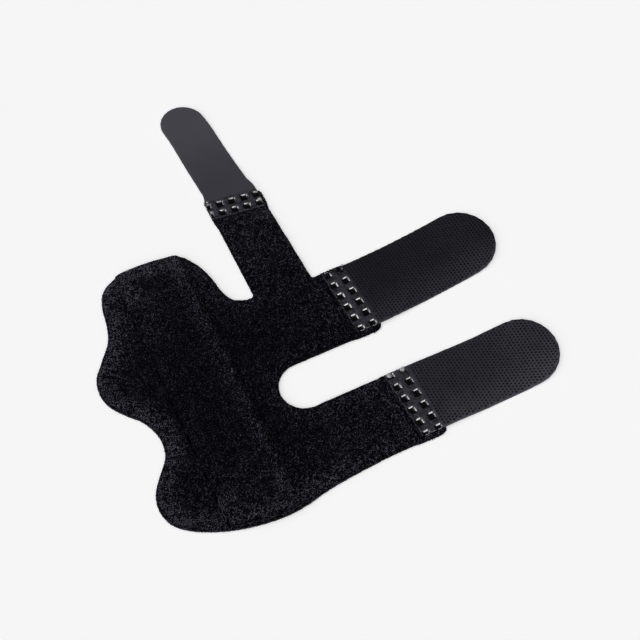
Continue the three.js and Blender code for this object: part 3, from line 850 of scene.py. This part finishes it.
# The two wide tabs are the same hook tape, yet the upper tab's tape colours are darker than the
# lower tab's: painted shade and light. Each tab's paler colour is a painted reflection, taken
# towards one side and the tip, and weld_shade is painted shade just past the weld.
TABS = {
    "finger_hook_tab": {"out": 90, "weld_turn": -6.9, "weld_depth": 0.0092, "turn": 3.8,
                        "slot": "smooth_hook", "top_cover": 0.0,
                        "side_wear": 0.1, "tip_wear": 0.9, "tip_reach": 0.05, "weld_shade": 0.1,
                        "tape": (0.069, 0.0655, 0.082, 1), "worn": (0.099, 0.0945, 0.117, 1),
                        "pressed": (0.042, 0.040, 0.0515, 1)},
    "upper_hook_tab": {"out": 0, "weld_turn": 3, "weld_depth": 0.0093, "turn": 5.4,
                       "slot": "dotted_hook", "top_cover": 0.0019,
                       "side_wear": 0.8, "tip_wear": 0.0, "tip_reach": 0.025, "weld_shade": 0.2,
                       "tape": (0.0190, 0.0175, 0.0250, 1), "worn": (0.055, 0.052, 0.0670, 1),
                       "pressed": (0.038, 0.036, 0.0468, 1)},
    "lower_hook_tab": {"out": 0, "weld_turn": 3, "weld_depth": 0.0093, "turn": 0.9,
                       "slot": "dotted_hook", "top_cover": 0.0,
                       "side_wear": 0.9, "tip_wear": 0.35, "tip_reach": 0.025, "weld_shade": 0.5,
                       "tape": (0.040, 0.0378, 0.0500, 1), "worn": (0.081, 0.077, 0.0970, 1),
                       "pressed": (0.038, 0.036, 0.0468, 1)},
}


def tape_finish(name, tape, worn, pressed):
    """Hook tape: paler in places by painted reflection, darker past the weld by painted shade,
    pressed dull in the weld band, black and glossy in marks.
    """
    material, tree = finish(name, Specular_IOR_Level=0.2, Coat_Roughness=MARK_ROUGHNESS)
    place = tree.node("ShaderNodeTexCoord")["Object"]
    band = tree.node("ShaderNodeAttribute", {"attribute_name": "band"})["Fac"]
    mark = tree.node("ShaderNodeAttribute", {"attribute_name": "mark"})["Fac"]
    wear = tree.node("ShaderNodeAttribute", {"attribute_name": "wear"})["Fac"]
    cloud = tree.node("ShaderNodeTexNoise", None, {
        "Vector": place, "Scale": CLOUD_FINENESS, "Detail": TAPE_NOISE_DETAIL})["Fac"]
    grain = tree.node("ShaderNodeTexNoise", None, {
        "Vector": place, "Scale": GRAIN_FINENESS, "Detail": TAPE_NOISE_DETAIL})["Fac"]
    crumple = tree.node("ShaderNodeTexNoise", None, {
        "Vector": place, "Scale": CRUMPLE_FINENESS, "Detail": CRUMPLE_DETAIL})["Fac"]
    # Painted reflection mixed into the tape's colour, with cloudy noise.
    reflection_mix = wear + (cloud - NOISE_MIDDLE) * CLOUD_CONTRAST
    open_tape = tree.node("ShaderNodeMix", {"data_type": "RGBA"},
                          {"Factor": reflection_mix, "A": tape, "B": worn})["Result"]
    dark, pale = [tuple(shade * part for part in pressed[:3]) + (1,) for shade in CRUMPLE_SHADES]
    mottled = tree.node("ShaderNodeMix", {"data_type": "RGBA"}, {
        "Factor": (crumple - NOISE_MIDDLE) * CRUMPLE_CONTRAST + NOISE_MIDDLE,
        "A": dark, "B": pale})["Result"]
    welded = tree.node("ShaderNodeMix", {"data_type": "RGBA"},
                       {"Factor": band, "A": open_tape, "B": mottled})["Result"]
    marked = tree.node("ShaderNodeMix", {"data_type": "RGBA"},
                       {"Factor": mark, "A": welded, "B": MELT_BLACK})["Result"]
    tree.into("Principled BSDF", "Base Color", marked)
    roughness = TAPE_ROUGHNESS - mark * (TAPE_ROUGHNESS - MARK_ROUGHNESS)
    tree.into("Principled BSDF", "Roughness", roughness)
    tree.into("Principled BSDF", "Coat Weight", mark)
    height = (grain + crumple * band * CRUMPLE_RELIEF) * (1 - mark)
    tree.into("Principled BSDF", "Normal", tree.node("ShaderNodeBump", None, {
        "Strength": TAPE_RELIEF_STRENGTH, "Distance": TAPE_RELIEF_DEPTH,
        "Height": height})["Normal"])
    return material


def smooth_step(value):
    share = min(max(value, 0), 1)
    return share * share * (3 - 2 * share)


def heading(degrees):
    """Unit vectors ahead and to the left, for an angle counted from +X."""
    ahead = Vector((math.cos(math.radians(degrees)), math.sin(math.radians(degrees)), 0))
    return ahead, Vector((-ahead.y, ahead.x, 0))


for i, (node, tab) in enumerate(TABS.items()):
    piece = solid_copy(node, node + "_tape")
    even_faces(piece, TAB_CELL, TAB_SMOOTHING, TAB_FACES_KEPT)
    out, left = heading(tab["out"] + tab["weld_turn"])
    ahead, across = heading(tab["out"] + tab["turn"])
    points = piece.data.vertices
    root = min(v.co.dot(out) for v in points)
    tip = max(v.co.dot(ahead) for v in points)
    sideways = [v.co.dot(across) for v in points if v.co.dot(out) > root + PAST_WELD]
    lowest, highest = min(sideways), max(sideways)
    in_weld = [v.co for v in points if v.co.dot(out) < root + WELD_ROOT]
    band_top = max(place.z for place in in_weld)
    band_side = max(place.dot(left) for place in in_weld)
    band, mark, wear = [piece.data.attributes.new(name, "FLOAT", "POINT")
                        for name in ("band", "mark", "wear")]
    for v in piece.data.vertices:
        along = v.co.dot(out) - root
        band.data[v.index].value = smooth_step((tab["weld_depth"] - along) / BAND_FADE)
        if along < tab["weld_depth"] - BAND_FADE and v.normal.z > MARK_NORMAL_Z:
            sunk = (band_top - MARK_EDGE - v.co.z) / (MARK_FLOOR - MARK_EDGE)
            mark.data[v.index].value = smooth_step(sunk)
        # The share of painted reflection: more towards one side and the tip, less in the painted
        # shade just past the weld.
        side = (v.co.dot(across) - lowest) / (highest - lowest)
        to_tip = (tip - v.co.dot(ahead)) / tab["tip_reach"]
        from_weld = (along - tab["weld_depth"]) / SHADE_REACH
        wear.data[v.index].value = (
            tab["side_wear"] * smooth_step(1 - side / REFLECTION_ACROSS)
            + tab["tip_wear"] * smooth_step(1 - to_tip)
            - tab["weld_shade"] * (1 - smooth_step(from_weld)))
    piece.data.materials.append(
        tape_finish(node + "_tape", tab["tape"], tab["worn"], tab["pressed"]))
    piece.data.shade_smooth()

    def under_pile(p):
        """True where the arm's pile covers the tape: at its root, and along its upper side."""
        along = p.dot(out) - root
        ragged = ROOT_RAGGED * (ROOT_RAGGED_SHIFT + noise.noise(p / ROOT_RAGGED_SIZE))
        widens = ROOT_COVER_WIDENS if along > tab["weld_depth"] / 2 else 1
        at_side = (p.dot(left) > band_side - tab["top_cover"] * widens
                   and along < tab["weld_depth"])
        if at_side or along < ROOT_END:
            return p.z > band_top - ROOT_SIDE_DEPTH
        return p.z > band_top - ROOT_COVER_DEPTH and along < ROOT_COVER + ragged

    pile_on(piece, node + "_root_pile", under_pile, 0.0, ROOT_PILE_SEED + i,
            clipped=0.0, least_normal_z=ROOT_LEAST_NORMAL_Z)
    if tab["slot"] == "dotted_hook":
        middle = (ahead * (tip - GRID_FROM_TIP) + across * (lowest + highest) / 2
                  + Vector((0, 0, GRID_HEIGHT)))
        hooks = grow(piece, hook_rows, node + "_hooks", Hook=moulded_hook,
                     Column_Spacing=HOOK_COLUMN_SPACING, Hook_Spacing=HOOK_SPACING,
                     Columns=HOOK_COLUMNS, Hooks=HOOKS_IN_COLUMN, Bare_Edge=BARE_EDGE,
                     Turn=(0, 0, math.radians(tab["out"] + tab["turn"])),
                     Place=tuple(middle), Finish=hook_finish, Seed=i)
        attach(hooks, "root")
        tab["slot"]
    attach(piece, "root")
    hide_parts(node)
    tab["slot"]

# Beads of melted plastic stand out of the welds' sides, where the horn squeezed the tape and the
# foam together. Each is a small smooth lump, stuck to the edge of the tape. Their colour, mottled
# from grey to near white, is a painted highlight.
BEAD_SIZE = 0.00075
BEAD_HEIGHT = 0.0021
BEAD_DETAIL = 3
BEAD_SWELL = 0.35
BEAD_STRETCH = (1.15, 1, 0.7)
BEAD_NOISE_STEP = 7
BEAD_FINENESS = 1300
BEAD_NOISE_DETAIL = 3
BEAD_HIGHLIGHT_DIM = (0.12, 0.117, 0.123, 1)
BEAD_HIGHLIGHT_BRIGHT = (0.8, 0.79, 0.81, 1)
BEADS = {(0.0651, -0.0264): 1.2, (0.0709, -0.0262): 1.2, (0.0339, 0.0760): 0.7,
         (0.0338, 0.0708): 0.7, (0.0543, 0.0724): 0.7, (0.0540, 0.0686): 0.9}
lumps = bmesh.new()
for i, ((x, y), size) in enumerate(BEADS.items()):
    bead = bmesh.ops.create_icosphere(lumps, subdivisions=BEAD_DETAIL, radius=BEAD_SIZE * size)
    for v in bead["verts"]:
        noise_place = v.co / BEAD_SIZE + Vector((i * BEAD_NOISE_STEP, 0, 0))
        swell = 1 + BEAD_SWELL * noise.noise(noise_place)
        v.co = v.co * swell * Vector(BEAD_STRETCH) + Vector((x, y, BEAD_HEIGHT))
bead_mesh = bpy.data.meshes.new("weld_beads")
lumps.to_mesh(bead_mesh)
lumps.free()
bead_mesh.shade_smooth()
beads = linked("weld_beads", bead_mesh)
# Painted highlight: the beads' mottled grey and near-white colour.
melt, melt_tree = finish("melted glossy plastic", Roughness=0.3, Specular_IOR_Level=1.0)
melt_noise = melt_tree.node("ShaderNodeTexNoise", None, {
    "Vector": melt_tree.node("ShaderNodeTexCoord")["Object"],
    "Scale": BEAD_FINENESS, "Detail": BEAD_NOISE_DETAIL})["Fac"]
melt_tree.into("Principled BSDF", "Base Color", melt_tree.node(
    "ShaderNodeMix", {"data_type": "RGBA"},
    {"Factor": melt_noise, "A": BEAD_HIGHLIGHT_DIM, "B": BEAD_HIGHLIGHT_BRIGHT})["Result"])
bead_mesh.materials.append(melt)
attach(beads, "root")
